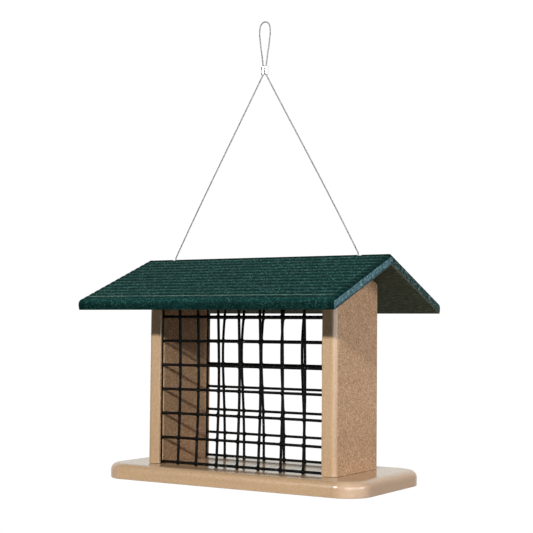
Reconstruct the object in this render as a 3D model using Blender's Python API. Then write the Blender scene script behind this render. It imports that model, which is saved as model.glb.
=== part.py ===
"""Suet feeder: two gable panels and two welded-mesh sheets on a base board, under a ribbed
gable roof that slides up a steel hanging cable.

The origin is the inside top of the hanging loop. +Z is up and X runs along the ridge.
Heights in this file are measured up from the underside of the base board, and each piece
hangs from an empty that carries it down to its place below the loop.
"""

import math

import bmesh
import bpy
from mathutils import Matrix, Vector

# Clearances, in metres like every size here
SEAT_GAP = 0.0003
CUT_OVERRUN = 0.002
CLEAT_CLEARANCE = 0.0012

# Base board
BASE_LENGTH = 0.307
BASE_WIDTH = 0.151
BASE_THICKNESS = 0.0156
BASE_CORNER_RADIUS = 0.028
BASE_TOP_ROUND = 0.0074
BASE_BOTTOM_ROUND = 0.0028

# Gable panels
PANEL_SPACING = 0.1953
PANEL_THICKNESS = 0.0157
PANEL_WIDTH = 0.0941
PANEL_PEAK_HEIGHT = 0.2066
PANEL_OUTER_ROUND = 0.006
PANEL_INNER_ROUND = 0.001
KERF_DEPTH = 0.0043

# Roof boards: the reach is the underside's length down the slope
ROOF_SLOPE = math.radians(21.6)
ROOF_LENGTH = 0.300
BOARD_THICKNESS = 0.0103
BOARD_REACH = 0.1268
RIDGE_LAND = 0.0027
RIB_COUNT = 13
RIB_PITCH = 0.00914
RIB_DEPTH = 0.0012
EAVE_SHOULDER = 0.0028
EAVE_NOSE_DEPTH = 0.0086
EAVE_NOSE_REACH = 0.0063
EAVE_BOTTOM_ROUND = 0.001
GABLE_EASING = 0.0025

# Cleat under the ridge
CLEAT_HALF_WIDTH = 0.022
CLEAT_DEPTH = 0.012

# Welded wire mesh
MESH_PITCH = 0.0254
MESH_NARROW_PITCH = 0.023
MESH_COLUMNS = 9
MESH_ROWS = 8
MESH_INSET = 0.005
MESH_FIRST_ROW = 0.0026
MESH_TOP_STUB = 0.002
MESH_SIDE_STUB = 0.0008
MESH_SIDE_PLAY = 0.0018
WIRE_DIAMETER = 0.0027
WELD_OFFSET = 0.0013
FRONT_MESH_BOW = 0.0031
REAR_MESH_BOW = 0.0068
FRONT_BOW_LEAN = 0.9
REAR_BOW_LEAN = 1.6
MESH_WIDENING = 0.0007
FRONT_WIDE_CELLS = (1, 2)
REAR_WIDE_CELLS = ()
CELL_BENDS = (1 / 3, 2 / 3)

# Hanging cable
CABLE_DIAMETER = 0.0016
CABLE_SLOT_LENGTH = 0.0056
CABLE_SLOT_WIDTH = 0.0024
HINGE_ABOVE_RIDGE = 0.002
LEG_LENGTH = 0.222
LEG_BOW = 0.0008
STRAND_SPACING = 0.004
FERRULE_LENGTH = 0.0096
BARREL_RADIUS = 0.0021
BARREL_EASING = 0.0004
SOCKET_DEPTH = 0.0022
LOOP_HEIGHT = 0.0474
LOOP_HALF_WIDTH = 0.0066

# Cable ends on the gable panels
ANCHOR_BELOW_PEAK = 0.0195
EYE_RADIUS = 0.0035
SLEEVE_LENGTH = 0.007
SLEEVE_HALF_THICKNESS = 0.0013
SLEEVE_HALF_WIDTH = 0.0024
WASHER_THICKNESS = 0.001

# Screws: shank radius, head radius, head height and overall length
BASE_SCREW = {"shank": 0.002, "head": 0.0041, "head_height": 0.0026, "length": 0.042}
CLEAT_SCREW = {"shank": 0.0015, "head": 0.003, "head_height": 0.002, "length": 0.0145}
ANCHOR_SCREW = {"shank": 0.0016, "head": 0.0034, "head_height": 0.002, "length": 0.016}
SCREW_POINT = 0.003
RECESS_WIDTH = 0.0009
RECESS_DEPTH = 0.0012
BASE_SCREW_SPACING = 0.05
CLEAT_SCREW_PITCH = 0.075
CLEAT_SCREW_SPACING = 0.025

# How finely round shapes are drawn
CORNER_STEPS = 8
ROUND_STEPS = 5
SMALL_ROUND_STEPS = 2
RIB_STEPS = 4
EASING_STEPS = 2
WIRE_SIDES = 6
SCREW_SIDES = 12
BARREL_SIDES = 20
LEG_STEPS = 12
TAIL_STEPS = 10
LOOP_STEPS = 44
EYE_STEPS = 20
TUBE_RESOLUTION = 2

# One side of the loop above the ferrule, as shares of the loop's half width and height
LOOP_SIDE_SHARES = (
    (0.50, 0.22),
    (0.76, 0.44),
    (0.90, 0.60),
    (1.00, 0.72),
    (1.00, 0.79),
    (0.92, 0.88),
    (0.76, 0.94),
    (0.43, 0.985),
)

# Sizes that follow from the ones above
CABLE_RADIUS = CABLE_DIAMETER / 2
WIRE_RADIUS = WIRE_DIAMETER / 2
PANEL_INNER_X = PANEL_SPACING / 2
PANEL_OUTER_X = PANEL_INNER_X + PANEL_THICKNESS
PANEL_FOOT = BASE_THICKNESS + SEAT_GAP
PANEL_PEAK = PANEL_FOOT + PANEL_PEAK_HEIGHT
ROOF_UNDERSIDE = PANEL_PEAK + SEAT_GAP / math.cos(ROOF_SLOPE)
RIDGE_TOP = ROOF_UNDERSIDE + BOARD_THICKNESS / math.cos(ROOF_SLOPE)
CLEAT_PEAK = ROOF_UNDERSIDE - SEAT_GAP / math.cos(ROOF_SLOPE)
CLEAT_FOOT = CLEAT_PEAK - CLEAT_DEPTH
HINGE_HEIGHT = RIDGE_TOP + HINGE_ABOVE_RIDGE
HOLE_X = PANEL_OUTER_X + SEAT_GAP + CABLE_RADIUS
LEG_FOOT_X = HOLE_X - CABLE_SLOT_LENGTH / 2 + CABLE_RADIUS + SEAT_GAP
STRAND_X = STRAND_SPACING / 2
LEG_RISE = math.sqrt(LEG_LENGTH**2 - (LEG_FOOT_X - STRAND_X) ** 2)
FERRULE_FOOT = HINGE_HEIGHT + LEG_RISE
FERRULE_TOP = FERRULE_FOOT + FERRULE_LENGTH
HOOK_HEIGHT = FERRULE_TOP + LOOP_HEIGHT - CABLE_RADIUS
KERF_WIDTH = WIRE_DIAMETER + WELD_OFFSET + 2 * SEAT_GAP
MESH_Y = PANEL_WIDTH / 2 - MESH_INSET
MESH_EDGE_X = PANEL_INNER_X + KERF_DEPTH - SEAT_GAP - WIRE_RADIUS - MESH_SIDE_PLAY
ANCHOR_HEIGHT = PANEL_PEAK - ANCHOR_BELOW_PEAK
WASHER_RADIUS = EYE_RADIUS + CABLE_RADIUS
SLEEVE_X = PANEL_OUTER_X + SEAT_GAP + SLEEVE_HALF_THICKNESS
SLEEVE_FOOT = ANCHOR_HEIGHT + WASHER_RADIUS + SEAT_GAP
SLEEVE_TOP = SLEEVE_FOOT + SLEEVE_LENGTH
WASHER_X = SLEEVE_X + CABLE_RADIUS + SEAT_GAP
ANCHOR_HEAD_X = WASHER_X + WASHER_THICKNESS + SEAT_GAP

SIDES = {"left": -1, "right": 1}
FACES = {"front": -1, "rear": 1}


# Shapes


def mesh_of(made, name):
    """Turn a bmesh into a mesh with its faces pointing out."""
    bmesh.ops.recalc_face_normals(made, faces=made.faces)
    mesh = bpy.data.meshes.new(name)
    made.to_mesh(mesh)
    made.free()
    return mesh


def wall(made, lower, upper):
    """Faces between two rings of points."""
    for here in range(len(lower)):
        after = (here + 1) % len(lower)
        made.faces.new((lower[here], lower[after], upper[after], upper[here]))


def skin(name, rings):
    """A closed solid drawn over rings of points and capped at both ends."""
    made = bmesh.new()
    rows = [[made.verts.new(point) for point in ring] for ring in rings]
    for lower, upper in zip(rows, rows[1:]):
        wall(made, lower, upper)
    made.faces.new(rows[0])
    made.faces.new(rows[-1])
    return mesh_of(made, name)


def circle(radius, sides, height=0.0):
    """Points round a level circle, turned half a side so that no corner lies on +X."""
    turns = [2 * math.pi * (step + 0.5) / sides for step in range(sides)]
    return [Vector((radius * math.cos(a), radius * math.sin(a), height)) for a in turns]


def turned(name, profile, sides):
    """A solid turned about Z from (radius, height) pairs, flat at both ends."""
    return skin(name, [circle(radius, sides, height) for radius, height in profile])


def turned_to_point(name, profile, tip_height, sides):
    """A solid turned about Z from (radius, height) pairs, then drawn in to a point."""
    made = bmesh.new()
    rings = [circle(radius, sides, height) for radius, height in profile]
    rows = [[made.verts.new(point) for point in ring] for ring in rings]
    tip = made.verts.new((0.0, 0.0, tip_height))
    for lower, upper in zip(rows, rows[1:]):
        wall(made, lower, upper)
    for here in range(sides):
        made.faces.new((rows[-1][here], rows[-1][(here + 1) % sides], tip))
    made.faces.new(rows[0])
    return mesh_of(made, name)


def rod(name, radius, start, end, sides):
    """A straight round bar between two points."""
    start = Vector(start)
    along = Vector(end) - start
    place = Matrix.Translation(start) @ along.to_track_quat("Z", "Y").to_matrix().to_4x4()
    ends = [circle(radius, sides), circle(radius, sides, along.length)]
    return skin(name, [[place @ point for point in ring] for ring in ends])


def prism(name, outline, low, high):
    """An upright prism on an outline of (x, y) points."""
    return skin(name, [[Vector((x, y, z)) for x, y in outline] for z in (low, high)])


def arc(centre, radius, start, end, steps):
    """Points along a circular arc in two dimensions, with its angles in degrees."""
    angles = [math.radians(start + (end - start) * step / steps) for step in range(steps + 1)]
    return [(centre[0] + radius * math.cos(a), centre[1] + radius * math.sin(a)) for a in angles]


def carved(mesh, others, operation="DIFFERENCE"):
    """The mesh after a Boolean operation with each of the other meshes."""
    body = bpy.data.objects.new(mesh.name, mesh)
    tools = [bpy.data.objects.new(other.name, other) for other in others]
    for obj in [body, *tools]:
        bpy.context.scene.collection.objects.link(obj)
    for tool in tools:
        change = body.modifiers.new(tool.name, "BOOLEAN")
        change.operation = operation
        change.object = tool
        change.solver = "EXACT"
    graph = bpy.context.evaluated_depsgraph_get()
    result = bpy.data.meshes.new_from_object(body.evaluated_get(graph))
    result.name = mesh.name
    for obj in [body, *tools]:
        bpy.data.objects.remove(obj)
    return result


def merged(name, meshes):
    """Several separate solids in one mesh."""
    made = bmesh.new()
    for mesh in meshes:
        made.from_mesh(mesh)
    return mesh_of(made, name)


def smooth_route(points, steps):
    """A curve through the given points, read off at even steps of its parameter."""
    ends = [points[0] * 2 - points[1], *points, points[-1] * 2 - points[-2]]
    spans = len(points) - 1
    route = []
    for step in range(steps + 1):
        place = spans * step / steps
        span = min(int(place), spans - 1)
        t = place - span
        before, start, end, after = ends[span : span + 4]
        linear = (end - before) * t
        square = (before * 2 - start * 5 + end * 4 - after) * t**2
        cube = (start * 3 - before - end * 3 + after) * t**3
        route.append(start + (linear + square + cube) / 2)
    return route


# Placing pieces


def finish(name, colour, roughness, metallic=0.0):
    made = bpy.data.materials.new(name)
    made.use_nodes = True
    surface = made.node_tree.nodes["Principled BSDF"]
    surface.inputs["Base Color"].default_value = (*colour, 1.0)
    surface.inputs["Roughness"].default_value = roughness
    surface.inputs["Metallic"].default_value = metallic
    made.diffuse_color = (*colour, 1.0)
    return made


def datum(name, height, parent=None):
    """An empty at a height above the base's underside, which carries pieces or other empties."""
    empty = bpy.data.objects.new(name, None)
    bpy.context.scene.collection.objects.link(empty)
    empty["height"] = height
    empty.parent = parent
    empty.location.z = height - (parent["height"] if parent else HOOK_HEIGHT)
    return empty


def add(name, data, carrier, look, place=(0.0, 0.0, 0.0), turn=(0.0, 0.0, 0.0)):
    """Make a piece from data drawn in heights above the base, carried by an empty."""
    obj = bpy.data.objects.new(name, data)
    bpy.context.scene.collection.objects.link(obj)
    obj.parent = carrier
    obj.location = Vector(place) - Vector((0.0, 0.0, carrier["height"]))
    obj.rotation_euler = turn
    own_look = look.copy()
    own_look.name = name
    data.materials.clear()
    data.materials.append(own_look)
    if obj.type == "MESH":
        data.shade_smooth()
        data.set_sharp_from_angle(angle=math.radians(35))
    return obj


def tube(name, route, radius, carrier, look, closed=False):
    """A round cable piece along a route of points."""
    curve = bpy.data.curves.new(name, "CURVE")
    curve.dimensions = "3D"
    curve.bevel_depth = radius
    curve.bevel_resolution = TUBE_RESOLUTION
    curve.use_fill_caps = not closed
    spline = curve.splines.new("POLY")
    spline.points.add(len(route) - 1)
    for knot, point in zip(spline.points, route):
        knot.co = (*point, 1.0)
    spline.use_cyclic_u = closed
    return add(name, curve, carrier, look)


# Screws


def recess(reach, face_height):
    """The crossed slots of a drive recess, cut up into a head's face."""
    half = RECESS_WIDTH / 2
    arm = [(reach, -half), (reach, half), (half, half)]
    outline = [
        (x * cos - y * sin, x * sin + y * cos)
        for cos, sin in ((1, 0), (0, 1), (-1, 0), (0, -1))
        for x, y in arm
    ]
    return prism("recess", outline, face_height - CUT_OVERRUN, face_height + RECESS_DEPTH)


def flat_head_screw(name, size):
    """A countersunk screw, its head's face at height zero and its point up."""
    profile = [
        (size["head"], 0.0),
        (size["shank"], size["head_height"]),
        (size["shank"], size["length"] - SCREW_POINT),
    ]
    mesh = turned_to_point(name, profile, size["length"], SCREW_SIDES)
    return carved(mesh, [recess(size["shank"], 0.0)])


def pan_head_screw(name, size):
    """A domed screw, its head's underside at height zero and its point up."""
    crown = arc((0.0, 0.0), size["head"], -60, 0, SMALL_ROUND_STEPS)
    dome = [(x, y * size["head_height"] / size["head"]) for x, y in crown]
    profile = [
        *dome,
        (size["shank"], 0.0),
        (size["shank"], size["length"] - SCREW_POINT),
    ]
    mesh = turned_to_point(name, profile, size["length"], SCREW_SIDES)
    return carved(mesh, [recess(size["shank"], dome[0][1])])


def screw_hole(size, start, end):
    """A clearance hole for a screw's shank between two points."""
    return rod("hole", size["shank"] + SEAT_GAP, start, end, SCREW_SIDES)


def screw_seat(size, place, depth):
    """A countersunk hole up through a face, for a head set one gap inside that face."""
    wide = size["head"] + SEAT_GAP
    narrow = size["shank"] + SEAT_GAP
    profile = [
        (wide, -CUT_OVERRUN),
        (wide, SEAT_GAP),
        (narrow, SEAT_GAP + size["head_height"]),
        (narrow, depth + CUT_OVERRUN),
    ]
    seat = turned("seat", profile, SCREW_SIDES)
    seat.transform(Matrix.Translation(place))
    return seat


def base_screw_places():
    """(name, x, y) of each screw that holds a gable panel on the base."""
    x = PANEL_INNER_X + PANEL_THICKNESS / 2
    y = BASE_SCREW_SPACING / 2
    return [
        (f"base_screw_{side}_{face}", sign * x, turn * y)
        for side, sign in SIDES.items()
        for face, turn in FACES.items()
    ]


def cleat_screw_places():
    """(name, x, y) of each screw that holds a roof board on the cleat."""
    y = CLEAT_SCREW_SPACING / 2
    return [
        (f"cleat_screw_{face}_{number}", CLEAT_SCREW_PITCH * (number - 2), turn * y)
        for face, turn in FACES.items()
        for number in (1, 2, 3)
    ]


# Housing


def base_outline(inset, height):
    """The base board's rounded outline, drawn in by an inset."""
    radius = BASE_CORNER_RADIUS - inset
    x = BASE_LENGTH / 2 - BASE_CORNER_RADIUS
    y = BASE_WIDTH / 2 - BASE_CORNER_RADIUS
    corners = ((x, y, 0), (-x, y, 90), (-x, -y, 180), (x, -y, 270))
    points = []
    for corner_x, corner_y, turn in corners:
        points += arc((corner_x, corner_y), radius, turn, turn + 90, CORNER_STEPS)
    return [Vector((px, py, height)) for px, py in points]


def base_board():
    """A flat board with round corners, a full round on top and a small one below."""
    bottom = arc((0.0, BASE_BOTTOM_ROUND), BASE_BOTTOM_ROUND, -90, 0, SMALL_ROUND_STEPS)
    top_centre = BASE_THICKNESS - BASE_TOP_ROUND
    top = arc((0.0, top_centre), BASE_TOP_ROUND, 0, 90, ROUND_STEPS)
    rings = [base_outline(BASE_BOTTOM_ROUND - reach, height) for reach, height in bottom]
    rings += [base_outline(BASE_TOP_ROUND - reach, height) for reach, height in top]
    seats = [screw_seat(BASE_SCREW, (x, y, 0.0), BASE_THICKNESS) for _, x, y in base_screw_places()]
    return carved(skin("base_board", rings), seats)


def panel_outline():
    """The right gable panel seen from above, with a kerf for the edge of each mesh sheet."""
    edge = PANEL_WIDTH / 2
    inner = PANEL_INNER_X + PANEL_INNER_ROUND
    outer = PANEL_OUTER_X - PANEL_OUTER_ROUND
    inner_y = edge - PANEL_INNER_ROUND
    outer_y = edge - PANEL_OUTER_ROUND
    points = arc((inner, -inner_y), PANEL_INNER_ROUND, 180, 270, SMALL_ROUND_STEPS)
    points += arc((outer, -outer_y), PANEL_OUTER_ROUND, 270, 360, ROUND_STEPS)
    points += arc((outer, outer_y), PANEL_OUTER_ROUND, 0, 90, ROUND_STEPS)
    points += arc((inner, inner_y), PANEL_INNER_ROUND, 90, 180, SMALL_ROUND_STEPS)
    for face in (1, -1):
        far = face * MESH_Y + KERF_WIDTH / 2
        near = face * MESH_Y - KERF_WIDTH / 2
        bottom = PANEL_INNER_X + KERF_DEPTH
        points += [(PANEL_INNER_X, far), (bottom, far), (bottom, near), (PANEL_INNER_X, near)]
    return points


def side_panel(name, side):
    """A panel whose top is cut to the roof's two slopes."""
    outline = [(side * x, y) for x, y in panel_outline()]
    block = prism(name, outline, PANEL_FOOT, PANEL_PEAK + CUT_OVERRUN)
    made = bmesh.new()
    made.from_mesh(block)
    for face in (1, -1):
        slope = Vector((0.0, face * math.sin(ROOF_SLOPE), math.cos(ROOF_SLOPE)))
        bmesh.ops.bisect_plane(
            made,
            geom=[*made.verts, *made.edges, *made.faces],
            plane_co=(0.0, 0.0, PANEL_PEAK),
            plane_no=slope,
            clear_outer=True,
        )
        rim = [edge for edge in made.edges if edge.is_boundary]
        bmesh.ops.holes_fill(made, edges=rim)
    gable = mesh_of(made, name)
    holes = []
    for _, x, y in base_screw_places():
        if x * side > 0:
            tip = BASE_SCREW["length"] + 2 * SEAT_GAP
            holes.append(screw_hole(BASE_SCREW, (x, y, 0.0), (x, y, tip)))
    anchor_tip = ANCHOR_HEAD_X - ANCHOR_SCREW["length"] - SEAT_GAP
    holes.append(
        screw_hole(
            ANCHOR_SCREW,
            (side * ANCHOR_HEAD_X, 0.0, ANCHOR_HEIGHT),
            (side * anchor_tip, 0.0, ANCHOR_HEIGHT),
        )
    )
    return carved(gable, holes)


def mesh_sheet(name, face, bow, lean, wide_cells):
    """A sheet of upright wires welded inside level ones. Between its kerfs it bellies into the
    bay, most at half height for a lean of 1 and higher for a larger one. A cell that came out
    wide moves the wires on its kerf's side outward."""
    foot = BASE_THICKNESS + SEAT_GAP
    first_row = BASE_THICKNESS + MESH_FIRST_ROW
    top_row = first_row + MESH_PITCH * (MESH_ROWS - 1)
    top = top_row + MESH_TOP_STUB
    columns = [MESH_EDGE_X - MESH_PITCH * number for number in range(MESH_COLUMNS - 2)]
    columns.append(columns[-1] - MESH_NARROW_PITCH)
    columns.append(columns[-1] - MESH_NARROW_PITCH)
    for cell in wide_cells:
        columns = [x + MESH_WIDENING * (number <= cell) for number, x in enumerate(columns)]
    columns = [-face * x for x in columns]
    level_y = face * (MESH_Y + WELD_OFFSET / 2)
    upright_y = face * (MESH_Y - WELD_OFFSET / 2)
    ends = (min(columns) - MESH_SIDE_STUB, max(columns) + MESH_SIDE_STUB)
    uprights = [
        rod("upright", WIRE_RADIUS, (x, upright_y, foot), (x, upright_y, top), WIRE_SIDES)
        for x in columns
    ]
    heights = [first_row + MESH_PITCH * number for number in range(MESH_ROWS)]
    levels = [
        rod("level", WIRE_RADIUS, (ends[0], level_y, z), (ends[1], level_y, z), WIRE_SIDES)
        for z in heights
    ]
    made = bmesh.new()
    made.from_mesh(carved(merged(name, uprights), [merged("levels", levels)], "UNION"))
    bends = [((x, 0.0, 0.0), (1.0, 0.0, 0.0)) for x in (-PANEL_INNER_X, PANEL_INNER_X)]
    marks = sorted(columns)
    for share in CELL_BENDS:
        for start, end in zip(marks, marks[1:]):
            bends.append(((start + (end - start) * share, 0.0, 0.0), (1.0, 0.0, 0.0)))
        for start, end in zip(heights, heights[1:]):
            bends.append(((0.0, 0.0, start + (end - start) * share), (0.0, 0.0, 1.0)))
    for place, way in bends:
        everything = [*made.verts, *made.edges, *made.faces]
        bmesh.ops.bisect_plane(made, geom=everything, plane_co=place, plane_no=way)
    bmesh.ops.triangulate(made, faces=made.faces[:])
    for vertex in made.verts:
        across = min(1.0, abs(vertex.co.x) / PANEL_INNER_X)
        up = min(1.0, max(0.0, (vertex.co.z - foot) / (top - foot)))
        swell = max(0.0, math.sin(math.pi * up**lean)) ** 1.5
        vertex.co.y -= face * bow * (1 - across**6) * swell
    return mesh_of(made, name)


# Roof


def board_profile():
    """The rear board's section as (distance down the slope, height off the underside)."""
    cos, sin = math.cos(ROOF_SLOPE), math.sin(ROOF_SLOPE)
    top = BOARD_THICKNESS
    mitre_foot = SEAT_GAP / 2 / cos
    mitre_top = (SEAT_GAP / 2 - top * sin) / cos
    low_round = (BOARD_REACH - EAVE_BOTTOM_ROUND, EAVE_BOTTOM_ROUND)
    nose = arc((0.0, top - EAVE_NOSE_DEPTH), EAVE_NOSE_DEPTH, 0, 90, ROUND_STEPS)
    slimming = EAVE_NOSE_REACH / EAVE_NOSE_DEPTH
    first_valley = mitre_top + RIDGE_LAND
    last_valley = first_valley + RIB_COUNT * RIB_PITCH
    points = [(mitre_foot, 0.0)]
    points += arc(low_round, EAVE_BOTTOM_ROUND, -90, 0, SMALL_ROUND_STEPS)
    points += [(BOARD_REACH - EAVE_NOSE_REACH + x * slimming, y) for x, y in nose]
    shoulder = RIB_STEPS // 2
    for step in range(shoulder):
        along = step / shoulder
        points.append((last_valley + EAVE_SHOULDER * (1 - along), top - RIB_DEPTH * along**2))
    for step in range(RIB_COUNT * RIB_STEPS + 1):
        across = step % RIB_STEPS / RIB_STEPS * 2 - 1
        points.append((last_valley - RIB_PITCH * step / RIB_STEPS, top - RIB_DEPTH * across**2))
    points.append((first_valley - RIDGE_LAND / 2, top - RIB_DEPTH / RIB_STEPS))
    points.append((mitre_top, top))
    return points


def board_stations():
    """(x, how far the top is eased down) at each section along a board."""
    half = ROOF_LENGTH / 2
    ease = GABLE_EASING
    angles = [90 * (1 - step / EASING_STEPS) for step in range(EASING_STEPS + 1)]
    near = [
        (-half + ease * (1 - math.sin(math.radians(a))), ease * (1 - math.cos(math.radians(a))))
        for a in angles
    ]
    return near + [(-x, drop) for x, drop in reversed(near)]


def cable_slot(side):
    """The slot for a strand, long along the ridge so that the strand can change its angle."""
    radius = CABLE_SLOT_WIDTH / 2
    x = side * HOLE_X
    end = CABLE_SLOT_LENGTH / 2 - radius
    outline = arc((x + end, 0.0), radius, -90, 90, CORNER_STEPS)
    outline += arc((x - end, 0.0), radius, 90, 270, CORNER_STEPS)
    return prism("cable_slot", outline, ROOF_UNDERSIDE - BOARD_THICKNESS, RIDGE_TOP + CUT_OVERRUN)


def roof_board(name, face):
    """A ribbed board, mitred at the ridge and eased along its two gable ends."""
    cos, sin = math.cos(ROOF_SLOPE), math.sin(ROOF_SLOPE)
    rings = []
    for x, drop in board_stations():
        ring = []
        for along, off in board_profile():
            off = min(off, BOARD_THICKNESS - drop)
            along = max(along, (SEAT_GAP / 2 - off * sin) / cos)
            y = along * cos + off * sin
            z = ROOF_UNDERSIDE - along * sin + off * cos
            ring.append(Vector((x, face * y, z)))
        rings.append(ring)
    holes = [cable_slot(side) for side in SIDES.values()]
    for _, x, y in cleat_screw_places():
        if y * face > 0:
            tip = CLEAT_FOOT + CLEAT_SCREW["length"] + 2 * SEAT_GAP
            holes.append(screw_hole(CLEAT_SCREW, (x, y, CLEAT_FOOT), (x, y, tip)))
    return carved(skin(name, rings), holes)


def ridge_cleat():
    """A strip that fills the angle under the ridge and sits between the gable panels."""
    half = CLEAT_HALF_WIDTH
    shoulder = CLEAT_PEAK - half * math.tan(ROOF_SLOPE)
    section = [
        (0.0, CLEAT_PEAK),
        (half, shoulder),
        (half, CLEAT_FOOT),
        (-half, CLEAT_FOOT),
        (-half, shoulder),
    ]
    end = PANEL_INNER_X - CLEAT_CLEARANCE
    strip = skin("ridge_cleat", [[Vector((x, y, z)) for y, z in section] for x in (-end, end)])
    seats = [
        screw_seat(CLEAT_SCREW, (x, y, CLEAT_FOOT), CLEAT_DEPTH) for _, x, y in cleat_screw_places()
    ]
    return carved(strip, seats)


# Hanger


def ferrule():
    """A double-barrelled sleeve with a socket for each of the four strands that enter it."""
    ease = BARREL_EASING
    profile = [
        (BARREL_RADIUS - ease, 0.0),
        (BARREL_RADIUS, ease),
        (BARREL_RADIUS, FERRULE_LENGTH - ease),
        (BARREL_RADIUS - ease, FERRULE_LENGTH),
    ]
    barrels = []
    sockets = []
    for side in SIDES.values():
        barrel = turned("crimp_ferrule", profile, BARREL_SIDES)
        barrel.transform(Matrix.Translation((side * STRAND_X, 0.0, FERRULE_FOOT)))
        barrels.append(barrel)
        for mouth, inward in ((FERRULE_FOOT, 1), (FERRULE_TOP, -1)):
            start = (side * STRAND_X, 0.0, mouth - inward * CUT_OVERRUN)
            end = (side * STRAND_X, 0.0, mouth + inward * SOCKET_DEPTH)
            sockets.append(rod("socket", CABLE_RADIUS + SEAT_GAP, start, end, SCREW_SIDES))
    return carved(carved(barrels[0], barrels[1:], "UNION"), sockets)


def loop_route():
    """The loop's centre line, up one side from the ferrule, over the top and down again."""
    seat = FERRULE_TOP - SOCKET_DEPTH + SEAT_GAP
    rise = [Vector((STRAND_X, 0.0, seat)), Vector((STRAND_X, 0.0, FERRULE_TOP))]
    for wide, high in LOOP_SIDE_SHARES:
        rise.append(Vector((LOOP_HALF_WIDTH * wide, 0.0, FERRULE_TOP + LOOP_HEIGHT * high)))
    top = Vector((0.0, 0.0, FERRULE_TOP + LOOP_HEIGHT))
    fall = [Vector((-point.x, 0.0, point.z)) for point in reversed(rise)]
    return smooth_route([*rise, top, *fall], LOOP_STEPS)


def leg_route(side):
    """A leg from its socket in the ferrule to the hinge point, a little bowed near the roof."""
    mouth = Vector((side * STRAND_X, 0.0, FERRULE_FOOT))
    foot = Vector((side * LEG_FOOT_X, 0.0, HINGE_HEIGHT + SEAT_GAP))
    chord = foot - mouth
    outward = Vector((-side * chord.z, 0.0, abs(chord.x))).normalized()
    route = [mouth + Vector((0.0, 0.0, SOCKET_DEPTH - SEAT_GAP))]
    for step in range(LEG_STEPS + 1):
        t = step / LEG_STEPS
        bulge = LEG_BOW * t**2 * (1 - t) * 27 / 4
        route.append(mouth + chord * t + outward * bulge)
    return route


def tail_route(side):
    """A cable's end from the hinge point through the ridge to the sleeve on the panel."""
    points = [
        Vector((side * LEG_FOOT_X, 0.0, HINGE_HEIGHT - SEAT_GAP)),
        Vector((side * (LEG_FOOT_X + HOLE_X) / 2, 0.0, (RIDGE_TOP + ROOF_UNDERSIDE) / 2)),
        Vector((side * HOLE_X, 0.0, ROOF_UNDERSIDE)),
        Vector((side * SLEEVE_X, 0.0, SLEEVE_TOP + SEAT_GAP)),
    ]
    return smooth_route(points, TAIL_STEPS)


def eye_route(side):
    """The closed eye round the anchor screw."""
    points = arc((0.0, ANCHOR_HEIGHT), EYE_RADIUS, 0, 360, EYE_STEPS)[:-1]
    return [Vector((side * SLEEVE_X, y, z)) for y, z in points]


def tail_sleeve(name):
    """The pressed oval sleeve that closes an eye."""
    squeeze = SLEEVE_HALF_THICKNESS / SLEEVE_HALF_WIDTH
    rings = [circle(SLEEVE_HALF_WIDTH, BARREL_SIDES, z) for z in (SLEEVE_FOOT, SLEEVE_TOP)]
    return skin(name, [[Vector((p.x * squeeze, p.y, p.z)) for p in ring] for ring in rings])


def washer(name):
    """A flat washer with its near face at height zero."""
    disc = turned(name, [(WASHER_RADIUS, 0.0), (WASHER_RADIUS, WASHER_THICKNESS)], BARREL_SIDES)
    bore = screw_hole(
        ANCHOR_SCREW, (0.0, 0.0, -CUT_OVERRUN), (0.0, 0.0, WASHER_THICKNESS + CUT_OVERRUN)
    )
    return carved(disc, [bore])


# The feeder


def build_housing(carrier, looks):
    add("base_board", base_board(), carrier, looks["tan board"])
    for side, sign in SIDES.items():
        name = f"side_panel_{side}"
        add(name, side_panel(name, sign), carrier, looks["tan board"])
    sheets = (
        ("front", FRONT_MESH_BOW, FRONT_BOW_LEAN, FRONT_WIDE_CELLS),
        ("rear", REAR_MESH_BOW, REAR_BOW_LEAN, REAR_WIDE_CELLS),
    )
    for face, *sizes in sheets:
        name = f"wire_mesh_{face}"
        add(name, mesh_sheet(name, FACES[face], *sizes), carrier, looks["coated wire"])
    screw = flat_head_screw("base_screw", BASE_SCREW)
    for name, x, y in base_screw_places():
        add(name, screw.copy(), carrier, looks["screw steel"], (x, y, SEAT_GAP))


def build_cable_ends(carrier, looks):
    quarter = math.pi / 2
    steel = looks["cable steel"]
    for side, sign in SIDES.items():
        outward = (0.0, sign * quarter, 0.0)
        inward = (0.0, -sign * quarter, 0.0)
        tube(f"cable_tail_{side}", tail_route(sign), CABLE_RADIUS, carrier, steel)
        tube(f"tail_eye_{side}", eye_route(sign), CABLE_RADIUS, carrier, steel, closed=True)
        sleeve = tail_sleeve(f"tail_sleeve_{side}")
        place = (sign * SLEEVE_X, 0.0, 0.0)
        add(f"tail_sleeve_{side}", sleeve, carrier, looks["aluminium"], place)
        ring = washer(f"anchor_washer_{side}")
        place = (sign * WASHER_X, 0.0, ANCHOR_HEIGHT)
        add(f"anchor_washer_{side}", ring, carrier, looks["screw steel"], place, outward)
        screw = pan_head_screw(f"anchor_screw_{side}", ANCHOR_SCREW)
        place = (sign * ANCHOR_HEAD_X, 0.0, ANCHOR_HEIGHT)
        add(f"anchor_screw_{side}", screw, carrier, looks["screw steel"], place, inward)


def build_roof(carrier, looks):
    for face, sign in FACES.items():
        name = f"roof_board_{face}"
        add(name, roof_board(name, sign), carrier, looks["green board"])
    add("ridge_cleat", ridge_cleat(), carrier, looks["green board"])
    screw = flat_head_screw("cleat_screw", CLEAT_SCREW)
    for name, x, y in cleat_screw_places():
        add(name, screw.copy(), carrier, looks["screw steel"], (x, y, CLEAT_FOOT + SEAT_GAP))


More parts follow.
